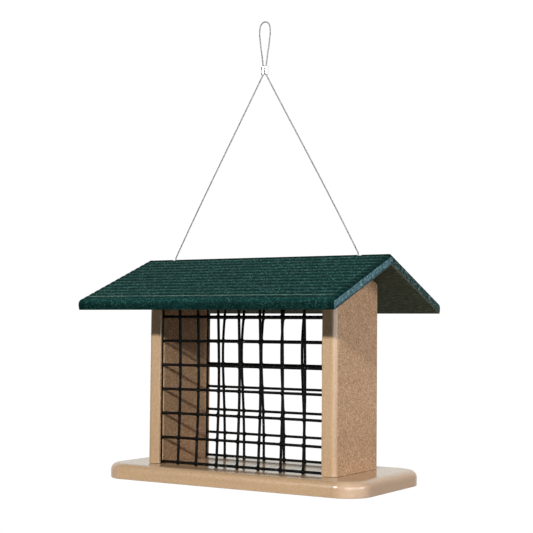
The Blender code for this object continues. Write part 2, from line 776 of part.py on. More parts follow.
def build_hanger(hook, cable, looks):
    tube("hanging_loop", loop_route(), CABLE_RADIUS, hook, looks["cable steel"])
    add("crimp_ferrule", ferrule(), hook, looks["aluminium"])
    for side, sign in SIDES.items():
        tube(f"cable_leg_{side}", leg_route(sign), CABLE_RADIUS, cable, looks["cable steel"])


def main():
    for old in list(bpy.data.objects):
        bpy.data.objects.remove(old)
    looks = {
        "tan board": finish("tan board", (0.55, 0.36, 0.22), 0.5),
        "green board": finish("green board", (0.009, 0.055, 0.043), 0.45),
        "coated wire": finish("coated wire", (0.012, 0.012, 0.012), 0.35),
        "cable steel": finish("cable steel", (0.5, 0.5, 0.5), 0.35, 1.0),
        "aluminium": finish("aluminium", (0.75, 0.75, 0.75), 0.35, 1.0),
        "screw steel": finish("screw steel", (0.45, 0.44, 0.42), 0.4, 1.0),
    }
    hook = datum("hook_point", HOOK_HEIGHT)
    cable = datum("cable_run", FERRULE_FOOT, hook)
    hinge = datum("ridge_hinge", HINGE_HEIGHT, cable)
    housing = datum("base_underside", 0.0, hinge)
    build_hanger(hook, cable, looks)
    build_roof(hinge, looks)
    build_housing(housing, looks)
    build_cable_ends(housing, looks)


main()
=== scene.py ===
"""Looks of a hanging suet feeder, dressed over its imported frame.

Everything is in metres in the frame's own axes. Heights are measured up from the underside
of the base board, and the row frame's height of that underside is FOOT.
"""

import math

import bmesh
import bpy
import numpy as np
from mathutils import Matrix, Vector


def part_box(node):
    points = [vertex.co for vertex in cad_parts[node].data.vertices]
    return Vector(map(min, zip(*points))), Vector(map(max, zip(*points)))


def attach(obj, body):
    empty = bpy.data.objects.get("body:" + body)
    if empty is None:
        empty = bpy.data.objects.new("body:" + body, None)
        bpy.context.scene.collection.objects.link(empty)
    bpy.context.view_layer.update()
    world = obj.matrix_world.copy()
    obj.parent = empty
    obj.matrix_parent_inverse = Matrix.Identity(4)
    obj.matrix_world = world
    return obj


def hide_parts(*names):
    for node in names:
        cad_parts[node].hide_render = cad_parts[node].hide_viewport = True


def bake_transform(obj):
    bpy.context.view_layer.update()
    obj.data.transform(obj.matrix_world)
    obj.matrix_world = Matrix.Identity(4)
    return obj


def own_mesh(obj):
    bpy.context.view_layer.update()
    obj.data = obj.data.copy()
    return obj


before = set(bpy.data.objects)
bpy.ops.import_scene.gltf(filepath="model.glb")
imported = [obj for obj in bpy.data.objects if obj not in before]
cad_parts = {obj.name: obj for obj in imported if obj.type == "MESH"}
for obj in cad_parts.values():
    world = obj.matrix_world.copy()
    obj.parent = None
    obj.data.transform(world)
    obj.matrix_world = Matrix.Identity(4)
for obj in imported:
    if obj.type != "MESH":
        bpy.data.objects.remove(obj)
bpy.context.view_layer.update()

# Read from the frame
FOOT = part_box("base_board")[0].z
BASE_HALF_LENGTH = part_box("base_board")[1].x
BASE_HALF_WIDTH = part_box("base_board")[1].y
BASE_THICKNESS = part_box("base_board")[1].z - FOOT
PANEL_INNER_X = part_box("side_panel_right")[0].x
PANEL_OUTER_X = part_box("side_panel_right")[1].x
PANEL_EDGE_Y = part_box("side_panel_right")[1].y
PANEL_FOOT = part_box("side_panel_right")[0].z - FOOT
PANEL_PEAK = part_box("side_panel_right")[1].z - FOOT
ROOF_HALF_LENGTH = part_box("roof_board_rear")[1].x

# Clearances
SEAT_GAP = 0.0003
OVERRUN = 0.002

# Base board
BASE_CORNER_RADIUS = 0.028
BASE_TOP_ROUND = 0.0074
BASE_BOTTOM_ROUND = 0.0012
FLAT_MARGIN = 0.0015

# Gable panels
PANEL_OUTER_ROUND = 0.006
PANEL_INNER_ROUND = 0.001
KERF_DEPTH = 0.0043

# Roof
ROOF_SLOPE = math.radians(21.6)
BOARD_THICKNESS = 0.0103
BOARD_REACH = 0.12673
RIDGE_LAND = 0.0027
RIB_COUNT = 13
RIB_PITCH = 0.00914
RIB_DEPTH = 0.0012
EAVE_SHOULDER = 0.0028
EAVE_NOSE_DEPTH = 0.0086
EAVE_NOSE_REACH = 0.0063
EAVE_BOTTOM_ROUND = 0.001
GABLE_EASING = 0.0025
ROOF_UNDERSIDE = PANEL_PEAK + SEAT_GAP / math.cos(ROOF_SLOPE)
RIDGE_TOP = ROOF_UNDERSIDE + BOARD_THICKNESS / math.cos(ROOF_SLOPE)

# Welded mesh
MESH_PITCH = 0.0254
MESH_NARROW_PITCH = 0.023
MESH_COLUMNS = 9
MESH_ROWS = 8
MESH_INSET = 0.005
MESH_FIRST_ROW = 0.0026
MESH_TOP_STUB = 0.002
MESH_SIDE_STUB = 0.0008
MESH_SIDE_PLAY = 0.0018
WIRE_RADIUS = 0.00135
WELD_OFFSET = 0.0013

# The coat shows a little thicker in the photograph than the CAD's plain wires.
COAT_RADIUS = 0.00145
COAT_SIDES = 14
UPRIGHT_STATIONS = 16
LEVEL_STATIONS = 40

# How far each sheet bellies into the bay, and its lean: at 1 it is deepest at half height, and
# above 1 higher up. The flatness keeps its middle flat, and the easing its foot and top straight.
MESH_BOWS = {"front": 0.0031, "rear": 0.0068}
BOW_LEANS = {"front": 0.9, "rear": 1.6}
BOW_FLATNESS = 6
BOW_EASING = 1.5

# Cells that came out wide, counted from 0 at the sheet's edge, which moves outward with them
MESH_WIDENING = 0.0007
WIDE_CELLS = {"front": (1, 2), "rear": ()}
MESH_Y = PANEL_EDGE_Y - MESH_INSET
MESH_EDGE_X = PANEL_INNER_X + KERF_DEPTH - SEAT_GAP - WIRE_RADIUS - MESH_SIDE_PLAY
KERF_WIDTH = 2 * WIRE_RADIUS + WELD_OFFSET + 2 * SEAT_GAP

# The coat's fillet at a crossing is drawn from its middle, out to a reach, in rings up to a tilt
# in degrees. Its wires are a little thin, so that its rim is inside the sheet's own.
WELD_REACH = 0.0040
WELD_FILLET = 0.0017
WELD_TILT = 84
WELD_WIRE_SHARE = 0.985
WELD_START_SHARE = 0.3

# Hanging cable
CABLE_RADIUS = 0.0008
CABLE_SLOT_LENGTH = 0.0056
CABLE_SLOT_WIDTH = 0.0024
CABLE_LAY = 0.0104
CABLE_STRANDS = 6
HINGE_HEIGHT = RIDGE_TOP + 0.002
HOLE_X = PANEL_OUTER_X + SEAT_GAP + CABLE_RADIUS
LEG_FOOT_X = HOLE_X - CABLE_SLOT_LENGTH / 2 + CABLE_RADIUS + SEAT_GAP
LEG_BOW = 0.0008
STRAND_X = 0.002
FERRULE_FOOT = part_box("crimp_ferrule")[0].z - FOOT
FERRULE_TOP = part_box("crimp_ferrule")[1].z - FOOT
BARREL_RADIUS = 0.0021
BARREL_FILLET = 0.0012
BARREL_EASING = 0.0005
SOCKET_DEPTH = 0.0022
LOOP_HEIGHT = 0.0474
LOOP_HALF_WIDTH = 0.0066
LOOP_SIDE_SHARES = (
    (0.50, 0.22),
    (0.76, 0.44),
    (0.90, 0.60),
    (1.00, 0.72),
    (1.00, 0.79),
    (0.92, 0.88),
    (0.76, 0.94),
    (0.43, 0.985),
)

# Cable ends on the gable panels
ANCHOR_HEIGHT = PANEL_PEAK - 0.0195
EYE_RADIUS = 0.0035
SLEEVE_LENGTH = 0.007
SLEEVE_HALF_THICKNESS = 0.0013
SLEEVE_HALF_WIDTH = 0.0024
SLEEVE_PRESS = 0.00012
SLEEVE_X = PANEL_OUTER_X + SEAT_GAP + SLEEVE_HALF_THICKNESS
WASHER_RADIUS = EYE_RADIUS + CABLE_RADIUS
WASHER_THICKNESS = 0.001
WASHER_X = SLEEVE_X + CABLE_RADIUS + SEAT_GAP
WASHER_EASING = 0.0002
SLEEVE_FOOT = ANCHOR_HEIGHT + WASHER_RADIUS + SEAT_GAP
SLEEVE_TOP = SLEEVE_FOOT + SLEEVE_LENGTH
ANCHOR_HEAD_X = WASHER_X + WASHER_THICKNESS + SEAT_GAP

# Screws: shank radius, head radius, head height and overall length
BASE_SCREW = {"shank": 0.002, "head": 0.0041, "head_height": 0.0026, "length": 0.042}
ANCHOR_SCREW = {"shank": 0.0016, "head": 0.0034, "head_height": 0.002, "length": 0.016}
BASE_SCREW_Y = 0.025
RECESS_WIDTH = 0.0009
RECESS_DEPTH = 0.0012
RECESS_TAPER_SHARE = 0.7
POINT_LENGTH = 0.003
HEAD_RIM = 0.00025
TURNED_SIDES = 48
SHARP_ANGLE = math.radians(32)

SIDES = {"left": -1, "right": 1}
FACES = {"front": -1, "rear": 1}
FACE_NAMES = {sign: name for name, sign in FACES.items()}

# The photograph's view: where it was taken from, and which way it looked, in degrees
FRAME_PIXELS = 533
FOCAL_PIXELS = 1225.53
SENSOR_MM = 36.0
NEAREST_SEEN = 0.05
VIEW_FROM = Vector((0.67975, -1.09756, 0.1569))
VIEW_YAW = 31.60
VIEW_PITCH = 2.99
VIEW_ROLL = 0.51

# The room, and the white sweep behind the feeder with its tilt and edges in degrees
ROOM = "#423f3c"
SWEEP = "#f6f9f5"
SWEEP_TILT = 8
SWEEP_EDGE = 62
SWEEP_FULL = 34
WHITE_LEVEL = 1.02
FLOOR_WHITE = "#efefef"
FLOOR_GLOSS = 0.9
FLOOR_DROP = 1.2
FLOOR_RADIUS = 1.8

# Each lamp's azimuth and elevation in degrees, distance, width and height, its level on a white
# card, its colour, and the rays that miss it. The kicker and the gloss sheet are white cards that
# only show as highlights, and the key is too small a source to show as one.
LAMPS = {
    "key": (11.0, 19.9, 3.0, 0.16, 0.16, 0.95, "#fffaf2", "glossy"),
    "side": (92.0, 12.0, 2.4, 1.5, 1.3, 0.45, "#fdf8f7", None),
    "kicker": (-17.0, 26.0, 3.0, 0.3, 1.0, 0.45, "#ffffff", "diffuse"),
    "gloss sheet": (48.0, 12.0, 2.4, 2.1, 1.3, 0.55, "#f6f9ff", "diffuse"),
}
AIM_HEIGHT = 0.12


# Shapes


class Shell:
    """The points and faces of one piece while it is drawn, with a look for each face."""

    def __init__(self):
        self.points = []
        self.faces = []
        self.looks = []

    def rings(self, rings, look=0, cap_look=None, loop=False):
        """Join rings of points by walls, and close the first and last ring unless they loop."""
        start = len(self.points)
        size = len(rings[0])
        for ring in rings:
            self.points += [tuple(point) for point in ring]
        pairs = len(rings) if loop else len(rings) - 1
        for row in range(pairs):
            low = start + row * size
            high = start + (row + 1) % len(rings) * size
            for here in range(size):
                after = (here + 1) % size
                self.faces.append((low + here, low + after, high + after, high + here))
                self.looks.append(look)
        if loop:
            return
        for first in (start, len(self.points) - size):
            self.faces.append(tuple(range(first, first + size)))
            self.looks.append(look if cap_look is None else cap_look)

    def mesh(self, name, looks=()):
        """The drawn shape as a mesh with its faces pointing out and its looks kept."""
        mesh = bpy.data.meshes.new(name)
        for look in looks:
            mesh.materials.append(LOOKS[look])
        mesh.from_pydata(self.points, [], self.faces)
        mesh.polygons.foreach_set("material_index", self.looks)
        made = bmesh.new()
        made.from_mesh(mesh)
        bmesh.ops.recalc_face_normals(made, faces=made.faces)
        made.to_mesh(mesh)
        made.free()
        return mesh


def skinned(name, rings, loop=False):
    """A solid whose skin joins rings of points."""
    shell = Shell()
    shell.rings(rings, loop=loop)
    return shell.mesh(name)


def arc(centre, radius, start, end, steps):
    """Points along a circular arc in two dimensions, with its angles in degrees."""
    angles = [math.radians(start + (end - start) * step / steps) for step in range(steps + 1)]
    return [(centre[0] + radius * math.cos(a), centre[1] + radius * math.sin(a)) for a in angles]


def circle(radius, sides, height=0.0):
    """Points round a circle about Z, with a flat between two of them on each axis."""
    turns = [2 * math.pi * (step + 0.5) / sides for step in range(sides)]
    return [Vector((radius * math.cos(a), radius * math.sin(a), height)) for a in turns]


def turned(name, profile, place=Matrix.Identity(4)):
    """A solid turned about Z from (radius, height) pairs."""
    return skinned(name, [[place @ p for p in circle(r, TURNED_SIDES, z)] for r, z in profile])


def shown(name, data):
    """A new object in the scene."""
    obj = bpy.data.objects.new(name, data)
    bpy.context.scene.collection.objects.link(obj)
    return obj


def carved(mesh, cutters):
    """The mesh with the other meshes cut out of it."""
    body = shown(mesh.name, mesh)
    tools = [shown(cutter.name, cutter) for cutter in cutters]
    for tool in tools:
        change = body.modifiers.new(tool.name, "BOOLEAN")
        change.operation = "DIFFERENCE"
        change.object = tool
        change.solver = "EXACT"
    graph = bpy.context.evaluated_depsgraph_get()
    result = bpy.data.meshes.new_from_object(body.evaluated_get(graph))
    result.name = mesh.name
    for obj in [body, *tools]:
        bpy.data.objects.remove(obj)
    return result


def smooth_route(points, steps):
    """A curve through the given points, read off at even steps of its parameter."""
    ends = [points[0] * 2 - points[1], *points, points[-1] * 2 - points[-2]]
    spans = len(points) - 1
    route = []
    for step in range(steps + 1):
        place = spans * step / steps
        span = min(int(place), spans - 1)
        t = place - span
        before, start, end, after = ends[span : span + 4]
        linear = (end - before) * t
        square = (before * 2 - start * 5 + end * 4 - after) * t**2
        cube = (start * 3 - before - end * 3 + after) * t**3
        route.append(start + (linear + square + cube) / 2)
    return route


def evenly(route, step):
    """The same route with its points spaced evenly, about one step apart."""
    points = np.array([tuple(point) for point in route])
    gaps = np.linalg.norm(np.diff(points, axis=0), axis=1)
    along = np.concatenate([[0.0], np.cumsum(gaps)])
    count = max(2, math.ceil(along[-1] / step) + 1)
    places = np.linspace(0.0, along[-1], count)
    return np.stack([np.interp(places, along, points[:, axis]) for axis in range(3)], axis=1)


def crossways(points):
    """Two directions across a route at each point, carried along it without twist."""
    tangents = np.gradient(points, axis=0)
    tangents /= np.linalg.norm(tangents, axis=1)[:, None]
    side = np.cross(tangents[0], (0.0, 1.0, 0.0))
    nearly_along = 0.1
    if np.linalg.norm(side) < nearly_along:
        side = np.cross(tangents[0], (1.0, 0.0, 0.0))
    sides = []
    for tangent in tangents:
        side = side - tangent * (side @ tangent)
        side = side / np.linalg.norm(side)
        sides.append(side)
    sides = np.array(sides)
    return sides, np.cross(tangents, sides)


def lifted(points):
    """Points whose heights are above the base's underside, moved into the row frame."""
    return [Vector((p[0], p[1], p[2] + FOOT)) for p in points]


def tube(shell, points, radii, sides):
    """Add a round tube along a route, with one radius or a radius for each point."""
    first, second = crossways(points)
    radii = np.broadcast_to(radii, len(points))
    turns = 2 * math.pi * np.arange(sides) / sides
    rings = [
        point + size * (np.cos(turns)[:, None] * u + np.sin(turns)[:, None] * v)
        for point, size, u, v in zip(points, radii, first, second)
    ]
    shell.rings(rings)


def blended(first, second, fillet):
    """Distance from two round shapes joined by a fillet, from the distances from each of them."""
    mix = np.clip(0.5 + 0.5 * (second - first) / fillet, 0, 1)
    return second * (1 - mix) + first * mix - fillet * mix * (1 - mix)


def rope(name, route):
    """A wire rope along a route: outer strands laid round a core strand, as in 7 x 7 cable."""
    steps_per_lay = 12
    sides = 9
    strand = CABLE_RADIUS / 3
    points = evenly(lifted(route), CABLE_LAY / steps_per_lay)
    first, second = crossways(points)
    gap = np.linalg.norm(points[1] - points[0])
    along = np.arange(len(points)) * gap / CABLE_LAY
    shell = Shell()
    tube(shell, points, strand, sides)
    for number in range(CABLE_STRANDS):
        turn = (2 * math.pi * (along + number / CABLE_STRANDS))[:, None]
        centre = points + 2 * strand * (np.cos(turn) * first + np.sin(turn) * second)
        tube(shell, centre, strand, sides)
    return shell.mesh(name)


# Looks


def paint(code):
    """Linear red, green, blue and alpha of an sRGB hex colour."""
    parts = [int(code[at : at + 2], 16) / 255 for at in (1, 3, 5)]
    linear = [p / 12.92 if p <= 0.04045 else ((p + 0.055) / 1.055) ** 2.4 for p in parts]
    return (*linear, 1.0)


def add(tree, kind, links=None, stops=None, **settings):
    """Add a shader node, with its settings, its ramp's stops, and its inputs' values or links."""
    node = tree.nodes.new(f"ShaderNode{kind}")
    for name, value in settings.items():
        setattr(node, name, value)
    for place, code in stops or ():
        node.color_ramp.elements.new(place).color = paint(code)
    for name, value in (links or {}).items():
        socket = node.inputs[name]
        if isinstance(value, bpy.types.NodeSocket):
            tree.links.new(value, socket)
        else:
            socket.default_value = value
    return node


def new_look(name):
    """An empty material, its nodes, and the piece's own coordinates in metres."""
    look = bpy.data.materials.new(name)
    look.use_nodes = True
    return look, look.node_tree, add(look.node_tree, "TexCoord").outputs["Object"]


def mottle(tree, where, size_mm, spread, detail=2.0):
    """An amount about 1 that drifts by the spread over patches of the given size."""
    terms = {"Vector": where, "Scale": 1000 / size_mm, "Detail": detail, "Roughness": 0.6}
    noise = add(tree, "TexNoise", terms).outputs["Fac"]
    return (noise, *NOISE_RANGE, 1 - spread, 1 + spread)


def grained(tree, where, size_mm, stops):
    """Ground flour in its binder: colours picked by a fine noise from a ramp, whose own ends stay
    black and white."""
    terms = {"Vector": where, "Scale": 1000 / size_mm, "Detail": 3.0, "Roughness": 0.7}
    noise = add(tree, "TexNoise", terms).outputs["Fac"]
    return add(tree, "ValToRGB", {"Fac": noise}, stops).outputs["Color"]


def measured(tree, places, way, start):
    """Distance in metres from the board's middle along a direction, past a start."""
    sizes = add(tree, "VectorMath", {0: places}, operation="ABSOLUTE").outputs["Vector"]
    along = add(tree, "VectorMath", {0: sizes, 1: way}, operation="DOT_PRODUCT").outputs["Value"]
    return add(tree, "Math", {0: along, 1: start}, operation="SUBTRACT").outputs["Value"]


def weighed(tree, *amounts):
    """The product of some amounts. One that follows a value is given as (value, start, end, first,
    last), and goes from first to last as the value goes from start to end."""
    names = ("Value", "From Min", "From Max", "To Min", "To Max")
    total = 1.0
    for amount in amounts:
        if isinstance(amount, tuple):
            amount = add(tree, "MapRange", dict(zip(names, amount))).outputs["Result"]
        total = add(tree, "Math", {0: total, 1: amount}, operation="MULTIPLY").outputs["Value"]
    return total


def shaded(tree, colour, *amounts):
    """A colour made darker or lighter by the product of some amounts."""
    shade = {0: colour, "Scale": weighed(tree, *amounts)}
    return add(tree, "VectorMath", shade, operation="SCALE").outputs["Vector"]


def dyed(tree, colour, code, *amounts):
    """A colour moved towards another by the product of some amounts."""
    mix = {0: weighed(tree, *amounts), 6: colour, 7: paint(code)}
    return add(tree, "Mix", mix, data_type="RGBA").outputs[2]


def flecked(tree, where, colour, thinned):
    """Pale fibre ends over a colour: a share of a cell pattern's cells has one, and they are
    thinned by an amount."""
    cells = add(tree, "TexVoronoi", {"Vector": where, "Scale": 1000 / FLECK_MM})
    draw = add(tree, "SeparateColor", {"Color": cells.outputs["Color"]}).outputs["Red"]
    spot = (cells.outputs["Distance"], *FLECK_EDGE, 0.0, 1.0)
    picked = (draw, 1 - FLECK_SHARE, 1 - FLECK_SHARE * FLECK_SOFT_SHARE, 0.0, 1.0)
    return dyed(tree, colour, FLECK, spot, picked, thinned)


def finished(look, where, colour, gloss, relief, shine=0.5, metallic=0.0):
    """Set a look's colour, its roughness, its relief as (size, depth) in mm, the mirror's share,
    and whether it is a metal."""
    tree = look.node_tree
    shader = tree.nodes["Principled BSDF"]
    tree.links.new(colour, shader.inputs["Base Color"])
    shader.inputs["Roughness"].default_value = gloss
    shader.inputs["Specular IOR Level"].default_value = shine
    shader.inputs["Metallic"].default_value = metallic
    size_mm, depth_mm = relief
    terms = {"Vector": where, "Scale": 1000 / size_mm, "Detail": 3.0, "Roughness": 0.65}
    noise = add(tree, "TexNoise", terms).outputs["Fac"]
    bump = {"Height": noise, "Strength": 1.0, "Distance": depth_mm / 1000}
    tree.links.new(add(tree, "Bump", bump).outputs["Normal"], shader.inputs["Normal"])
    return look


def tan_skin(name, stretch, gloss, shine=0.75, cut_and_sheen=0.0):
    """Extruded skin of the tan board: satin, smooth, with long faint streaks of its flow. Where
    a router cut it across, at the base's corners and ends, it is paler and pinker, and on the corners
    this paler colour is also a painted sheen."""
    look, tree, places = new_look(name)
    where = add(tree, "Mapping", {"Vector": places, "Scale": stretch}).outputs["Vector"]
    stops = ((0.30, "#b49473"), (0.45, "#c1a484"), (0.58, "#c5a889"), (0.74, "#d3bda1"))
    colour = grained(tree, where, GRAIN_MM, stops)
    flow = [1.0 if along == 1.0 else FLOW_STRETCH for along in stretch]
    flow = add(tree, "Mapping", {"Vector": places, "Scale": flow}).outputs["Vector"]
    streaks = mottle(tree, flow, size_mm=5.0, spread=0.05)
    colour = shaded(tree, colour, streaks, mottle(tree, where, CLOUD_MM, spread=0.03))
    # Paler and pinker towards the base's ends: the routed cut, and on the corners a painted sheen.
    out = measured(tree, places, (1.0, 0.0, 0.0), BASE_HALF_LENGTH - BASE_CORNER_RADIUS)
    colour = dyed(tree, colour, "#e2c7b4", (out, 0.0, CUT_AND_SHEEN_FADE, 0.0, cut_and_sheen))
    return finished(look, where, colour, gloss, relief=(1.6, 0.02), shine=shine)


def tan_face(name, stretch):
    """Sanded face of the tan board: the skin is off, so its dark and light flour shows."""
    look, tree, places = new_look(name)
    where = add(tree, "Mapping", {"Vector": places, "Scale": stretch}).outputs["Vector"]
    stops = ((0.31, "#926e52"), (0.43, "#c09a78"), (0.57, "#d5b18e"), (0.69, "#fae3cb"))
    colour = grained(tree, where, GRAIN_MM, stops)
    colour = shaded(tree, colour, mottle(tree, where, CLOUD_MM, spread=0.04, detail=3.0))
    return finished(look, where, colour, gloss=0.6, relief=(1.6, 0.16), shine=0.3)


def ribbed_green(name):
    """Ribbed face of the green board: painted shade darkens the hollows between the ribs and a painted
    highlight lightens each crest, and pale fibre ends show on the ribs. A painted highlight line runs
    along the last crest before the eave, broken in patches, and the gable edges are eased smooth."""
    look, tree, places = new_look(name)
    where = add(tree, "Mapping", {"Vector": places, "Scale": (0.8, 1.0, 1.0)}).outputs["Vector"]
    stops = ((0.31, "#052524"), (0.44, "#0b3635"), (0.57, "#104341"), (0.69, "#28635e"))
    colour = grained(tree, where, COARSE_GRAIN_MM, stops)
    end = measured(tree, places, (1.0, 0.0, 0.0), ROOF_HALF_LENGTH - SMOOTH_END)
    down = measured(tree, places, DOWN_SLOPE, RIB_START - RIDGE_FALL)
    crest = {0: down, 1: RIB_PITCH * (RIB_COUNT - 0.5)}
    past_crest = add(tree, "Math", crest, operation="SUBTRACT").outputs["Value"]
    ribs = weighed(tree, (end, *FACE_FADES["rib ends"]))
    thinned = weighed(tree, ribs, (past_crest, *FACE_FADES["eave flecks"]))
    colour = flecked(tree, where, colour, thinned)
    # Painted shade in the hollow between ribs and a painted highlight on each crest, by height across
    # the rib.
    height = add(tree, "Math", {0: down, 1: RIB_PITCH / 2}, operation="PINGPONG").outputs["Value"]
    colour = shaded(
        tree,
        colour,
        (height, *FACE_FADES["painted valley shade and rib highlight"]),
        (down, *FACE_FADES["ridge land"]),
        (end, *FACE_FADES["smooth end"]),
        (past_crest, *FACE_FADES["eave"]),
        mottle(tree, where, CLOUD_MM, spread=0.08),
    )
    # A painted highlight line along the last crest before the eave, broken in patches.
    gap = add(tree, "Math", {0: past_crest}, operation="ABSOLUTE").outputs["Value"]
    highlight_breaks = mottle(tree, where, size_mm=9.0, spread=0.6)
    colour = dyed(tree, colour, "#8fa79e", (gap, *FACE_FADES["painted eave crest highlight"]), highlight_breaks, ribs)
    return finished(look, where, colour, gloss=0.62, relief=(1.6, 0.12), shine=0.06)


def sawn_green(name, stops, skin, lip):
    """Sawn end of the green board: torn fibre, lighter and bluer than the pressed skin, streaked
    along the board, with the skin's dark edge above and a broken lip below."""
    look, tree, places = new_look(name)
    down = measured(tree, places, DOWN_SLOPE, 0.0)
    depth = measured(tree, places, INTO_BOARD, TOP_FALL)
    short = add(tree, "Math", {0: down, 1: TORN_STRETCH}, operation="MULTIPLY").outputs["Value"]
    laid = add(tree, "CombineXYZ", {"X": short, "Y": depth}).outputs["Vector"]
    colour = grained(tree, laid, COARSE_GRAIN_MM, stops)
    colour = shaded(
        tree,
        colour,
        mottle(tree, places, COARSE_GRAIN_MM, spread=0.42),
        (depth, *END_FADES["fall"]),
        (down, *END_FADES["paler down the slope"]),
        mottle(tree, places, size_mm=12.0, spread=0.12),
    )
    colour = dyed(tree, colour, skin, (depth, *END_FADES["skin"]))
    broken = mottle(tree, places, size_mm=3.0, spread=0.5)
    colour = dyed(tree, colour, lip, (depth, *END_FADES["lip"]), broken)
    return finished(look, places, colour, gloss=0.75, relief=(1.6, 0.2), shine=0.1)


def planed_green(name):
    """Planed underside of the green board: dull, olive, and streaked by the planer."""
    look, tree, places = new_look(name)
    where = add(tree, "Mapping", {"Vector": places, "Scale": (0.3, 1.0, 1.0)}).outputs["Vector"]
    stops = ((0.31, "#22271b"), (0.44, "#373d2d"), (0.57, "#434937"), (0.69, "#646951"))
    colour = grained(tree, where, COARSE_GRAIN_MM, stops)
    colour = shaded(tree, colour, mottle(tree, where, CLOUD_MM, spread=0.08))
    return finished(look, where, colour, gloss=0.65, relief=(1.6, 0.12), shine=0.05)


def vinyl_dip(name):
    """Vinyl dip over the wire: near black, satin, with the slight orange peel of a dip."""
    look, tree, places = new_look(name)
    stops = ((0.35, "#070808"), (0.65, "#0e0f0f"))
    colour = grained(tree, places, PEEL_MM, stops)
    return finished(look, places, colour, gloss=0.42, relief=(2.0, 0.05), shine=0.1)


def metal(name, stops, gloss, relief):
    """Bare metal with a slight drift of tone and the fine marks of how it was worked."""
    look, tree, places = new_look(name)
    colour = grained(tree, places, DRIFT_MM, stops)
    return finished(look, places, colour, gloss, relief, metallic=1.0)


# Nearly all of a noise lies between these values.
NOISE_RANGE = (0.3, 0.7)

# The boards' flour is ground to about 0.5 mm. Finer than a pixel, it is drawn at over twice that,
# and where the photograph sees a face aslant it is drawn coarser again.
GRAIN_MM = 1.2
COARSE_GRAIN_MM = 1.9
FLECK_MM = 1.4
CLOUD_MM = 45.0

# The dip's orange peel is about 2.5 mm across, and bare metal's tone drifts over 3 mm.
PEEL_MM = 2.5
DRIFT_MM = 3.0

# The cells that are drawn to have a fleck, the draw's soft part, and where in a cell it fades out
FLECK = "#649a92"
FLECK_SHARE = 0.45
FLECK_SOFT_SHARE = 0.6
FLECK_EDGE = (0.45, 0.2)

# How wide a streak of the extruder's flow and one of torn fibre is, as a share of its length
FLOW_STRETCH = 0.05
TORN_STRETCH = 0.35

# How far the paler cut, with its painted sheen on the corners, reaches from the base's corners,
# and how wide a smooth gable edge is
CUT_AND_SHEEN_FADE = 0.010
SMOOTH_END = 0.008

# Fades on the green board's face, as distances in metres and amounts there. The rib ends and the
# smooth end are measured from where the smooth edge starts, the painted shade and highlight across the
# ribs from the bottom of each rib, the ridge land from its edge, and the others, with the painted
# highlight line, from the last crest before the eave.
FACE_FADES = {
    "rib ends": (0.0, 0.003, 1.0, 0.0),
    "smooth end": (0.0, 0.004, 1.0, 0.72),
    "painted valley shade and rib highlight": (0.0007, 0.0034, 0.48, 1.12),
    "ridge land": (-0.0006, 0.0006, 0.7, 1.0),
    "eave flecks": (0.003, 0.006, 1.0, 0.55),
    "eave": (0.003, 0.006, 1.0, 0.86),
    "painted eave crest highlight": (0.0013, 0.0005, 0.0, 0.35),
}

# Fades on its sawn end: down into the board, and for the part that grows paler towards the eave, down
# the slope
END_FADES = {
    "skin": (0.0006, 0.0014, 0.8, 0.0),
    "fall": (0.0, BOARD_THICKNESS, 1.15, 0.8),
    "lip": (BOARD_THICKNESS - 0.0022, BOARD_THICKNESS - 0.0008, 0.0, 0.8),
    "paler down the slope": (0.07, 0.12, 0.98, 1.2),
}

# The roof's own directions, in either half, and where its boards start along them
DOWN_SLOPE = (0.0, math.cos(ROOF_SLOPE), math.sin(ROOF_SLOPE))
INTO_BOARD = (0.0, -math.sin(ROOF_SLOPE), math.cos(ROOF_SLOPE))
RIB_START = (SEAT_GAP / 2 - BOARD_THICKNESS * math.sin(ROOF_SLOPE)) / math.cos(ROOF_SLOPE) + RIDGE_LAND
RIDGE_FALL = (ROOF_UNDERSIDE + FOOT) * math.sin(ROOF_SLOPE)
TOP_FALL = -(RIDGE_TOP + FOOT) * math.cos(ROOF_SLOPE)

FRONT_END = ((0.31, "#22404a"), (0.45, "#446873"), (0.57, "#5e838d"), (0.69, "#9ab9bf"))
REAR_END = ((0.32, "#0a1a1d"), (0.45, "#1c3437"), (0.56, "#3a5757"), (0.68, "#8ea3a1"))

ROPE_STEEL = ((0.35, "#b9babb"), (0.65, "#d6d7d7"))
PRESSED_ALUMINIUM = ((0.35, "#cbcccc"), (0.65, "#dedfdf"))
SCREW_ZINC = ((0.35, "#a9a8a2"), (0.65, "#c9c8c3"))

# The rope's wires are finer than a pixel, so their scatter is in its high roughness.
LOOKS = {
    "base skin": tan_skin("extruded tan composite, base", (0.4, 1.0, 1.0), gloss=0.17, shine=0.5),
    "base edge": tan_skin("routed tan composite, base", (0.4, 1.0, 1.0), gloss=0.25, cut_and_sheen=0.35),
    "panel edge": tan_skin("extruded tan composite, panels", (1.0, 1.0, 0.4), gloss=0.3),
    "panel face": tan_face("sanded tan composite, panels", (1.0, 0.8, 0.8)),
    "roof top": ribbed_green("ribbed green composite"),
    "front end": sawn_green("sawn green composite, front", FRONT_END, "#1d4245", "#31454c"),
    "rear end": sawn_green("sawn green composite, rear", REAR_END, "#12302f", "#5e5f4c"),
    "roof under": planed_green("planed green composite"),
    "vinyl": vinyl_dip("black vinyl dip"),
    "rope": metal("drawn stainless rope", ROPE_STEEL, gloss=0.75, relief=(0.6, 0.01)),
    "aluminium": metal("pressed aluminium", PRESSED_ALUMINIUM, gloss=0.27, relief=(3.0, 0.001)),
    "screw steel": metal("zinc plated steel", SCREW_ZINC, gloss=0.36, relief=(0.9, 0.01)),
}


# Placing pieces


